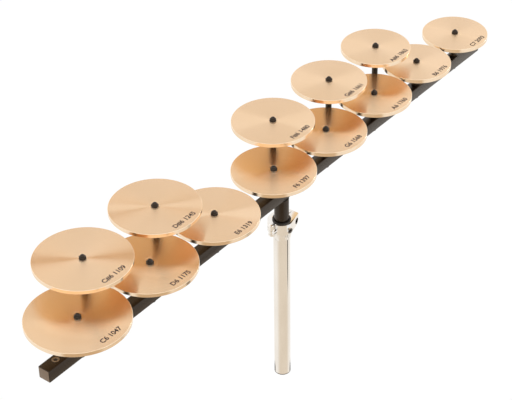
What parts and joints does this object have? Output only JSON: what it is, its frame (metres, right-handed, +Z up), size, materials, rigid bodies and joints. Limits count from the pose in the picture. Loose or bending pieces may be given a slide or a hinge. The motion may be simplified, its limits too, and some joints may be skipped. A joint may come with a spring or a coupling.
{
  "type": "crotales",
  "caption": "Chromatic octave of tuned bronze discs in two rows on one square bar, on a telescoping mast held by a hinged clamp at the top of a chrome tube.",
  "frame": {"origin": "on the tube's axis, at the lower end of its straight wall", "axes": "+Z up along the tube, +X along the bar towards the high notes, +Y from the player towards the raised row"},
  "size_m": [1.0364, 0.1864, 0.4441],
  "materials": {
    "bronze": "turned, with fine concentric marks",
    "bar_paint": "satin dark brown-black",
    "black_metal": "satin black",
    "black_fastener": "black oxide, slight gloss",
    "plain_steel": "plain zinc",
    "chrome": "polished",
    "black_plastic": "satin moulded",
    "felt": "pressed felt"
  },
  "bodies": {
    "stand": {"tube": "chrome", "end_plug": "black_plastic", "clamp_socket": "chrome", "bush": "black_plastic", "hinge_pin": "chrome", "clamp_nut": "plain_steel"},
    "jaw": {"clamp_jaw": "chrome", "jaw_screw": "black_fastener"},
    "clamp_screw": {"clamp_screw": "black_fastener"},
    "mast": {"mast": "black_metal", "mast_plug": "plain_steel", "guide_collar": "black_plastic", "mast_screw": "black_fastener", "screw_washer": "black_fastener", "thrust_washer": "black_plastic"},
    "rack": {"bar": "bar_paint", "bar_insert": "plain_steel", "studs": "plain_steel", "spacer_sleeves": "black_metal", "felt_washers": "felt", "top_washers": "black_plastic", "cap_nuts": "black_fastener", "bar_washers": "black_fastener", "bar_nuts": "black_fastener", "posts": "black_metal", "post_lock_nuts": "black_fastener"},
    "crotale_c": {"crotale_c": "bronze"},
    "crotale_c_sharp": {"crotale_c_sharp": "bronze"},
    "crotale_d": {"crotale_d": "bronze"},
    "crotale_d_sharp": {"crotale_d_sharp": "bronze"},
    "crotale_e": {"crotale_e": "bronze"},
    "crotale_f": {"crotale_f": "bronze"},
    "crotale_f_sharp": {"crotale_f_sharp": "bronze"},
    "crotale_g": {"crotale_g": "bronze"},
    "crotale_g_sharp": {"crotale_g_sharp": "bronze"},
    "crotale_a": {"crotale_a": "bronze"},
    "crotale_a_sharp": {"crotale_a_sharp": "bronze"},
    "crotale_b": {"crotale_b": "bronze"},
    "crotale_c_high": {"crotale_c_high": "bronze"}
  },
  "joints": [
    {"name": "mast_height", "type": "slide", "parent": "stand", "child": "mast", "axis": [0, 0, 1], "range_m": [-0.028, 0.08]},
    {"name": "bar_swivel", "type": "hinge", "parent": "mast", "child": "rack", "pos_m": [0, 0, 0.34], "axis": [0, 0, 1], "continuous": true},
    {"name": "jaw_hinge", "type": "hinge", "parent": "stand", "child": "jaw", "pos_m": [-0.021, 0.0025, 0.2905], "axis": [0, 0, -1], "range_deg": [0, 2.5]},
    {"name": "clamp_screw_feed", "type": "slide", "parent": "stand", "child": "clamp_screw", "axis": [0, -1, 0], "range_m": [0, 0.0019]},
    {"name": "crotale_c_spin", "type": "hinge", "parent": "rack", "child": "crotale_c", "pos_m": [-0.435, 0, 0.3945], "axis": [0, 0, 1], "continuous": true},
    {"name": "crotale_c_sharp_spin", "type": "hinge", "parent": "rack", "child": "crotale_c_sharp", "pos_m": [-0.372, 0.046, 0.4305], "axis": [0, 0, 1], "continuous": true},
    {"name": "crotale_d_spin", "type": "hinge", "parent": "rack", "child": "crotale_d", "pos_m": [-0.292, 0, 0.3945], "axis": [0, 0, 1], "continuous": true},
    {"name": "crotale_d_sharp_spin", "type": "hinge", "parent": "rack", "child": "crotale_d_sharp", "pos_m": [-0.226, 0.046, 0.4305], "axis": [0, 0, 1], "continuous": true},
    {"name": "crotale_e_spin", "type": "hinge", "parent": "rack", "child": "crotale_e", "pos_m": [-0.1545, 0, 0.3945], "axis": [0, 0, 1], "continuous": true},
    {"name": "crotale_f_spin", "type": "hinge", "parent": "rack", "child": "crotale_f", "pos_m": [-0.0183, 0, 0.3945], "axis": [0, 0, 1], "continuous": true},
    {"name": "crotale_f_sharp_spin", "type": "hinge", "parent": "rack", "child": "crotale_f_sharp", "pos_m": [0.04, 0.046, 0.4305], "axis": [0, 0, 1], "continuous": true},
    {"name": "crotale_g_spin", "type": "hinge", "parent": "rack", "child": "crotale_g", "pos_m": [0.1102, 0, 0.3945], "axis": [0, 0, 1], "continuous": true},
    {"name": "crotale_g_sharp_spin", "type": "hinge", "parent": "rack", "child": "crotale_g_sharp", "pos_m": [0.18, 0.046, 0.4305], "axis": [0, 0, 1], "continuous": true},
    {"name": "crotale_a_spin", "type": "hinge", "parent": "rack", "child": "crotale_a", "pos_m": [0.2365, 0, 0.3945], "axis": [0, 0, 1], "continuous": true},
    {"name": "crotale_a_sharp_spin", "type": "hinge", "parent": "rack", "child": "crotale_a_sharp", "pos_m": [0.3044, 0.046, 0.4305], "axis": [0, 0, 1], "continuous": true},
    {"name": "crotale_b_spin", "type": "hinge", "parent": "rack", "child": "crotale_b", "pos_m": [0.354, 0, 0.3945], "axis": [0, 0, 1], "continuous": true},
    {"name": "crotale_c_high_spin", "type": "hinge", "parent": "rack", "child": "crotale_c_high", "pos_m": [0.4663, 0, 0.3945], "axis": [0, 0, 1], "continuous": true}
  ],
  "couplings": [
    {"joint": "clamp_screw_feed", "follows": "jaw_hinge", "m_per_rad": 0.0419}
  ]
}
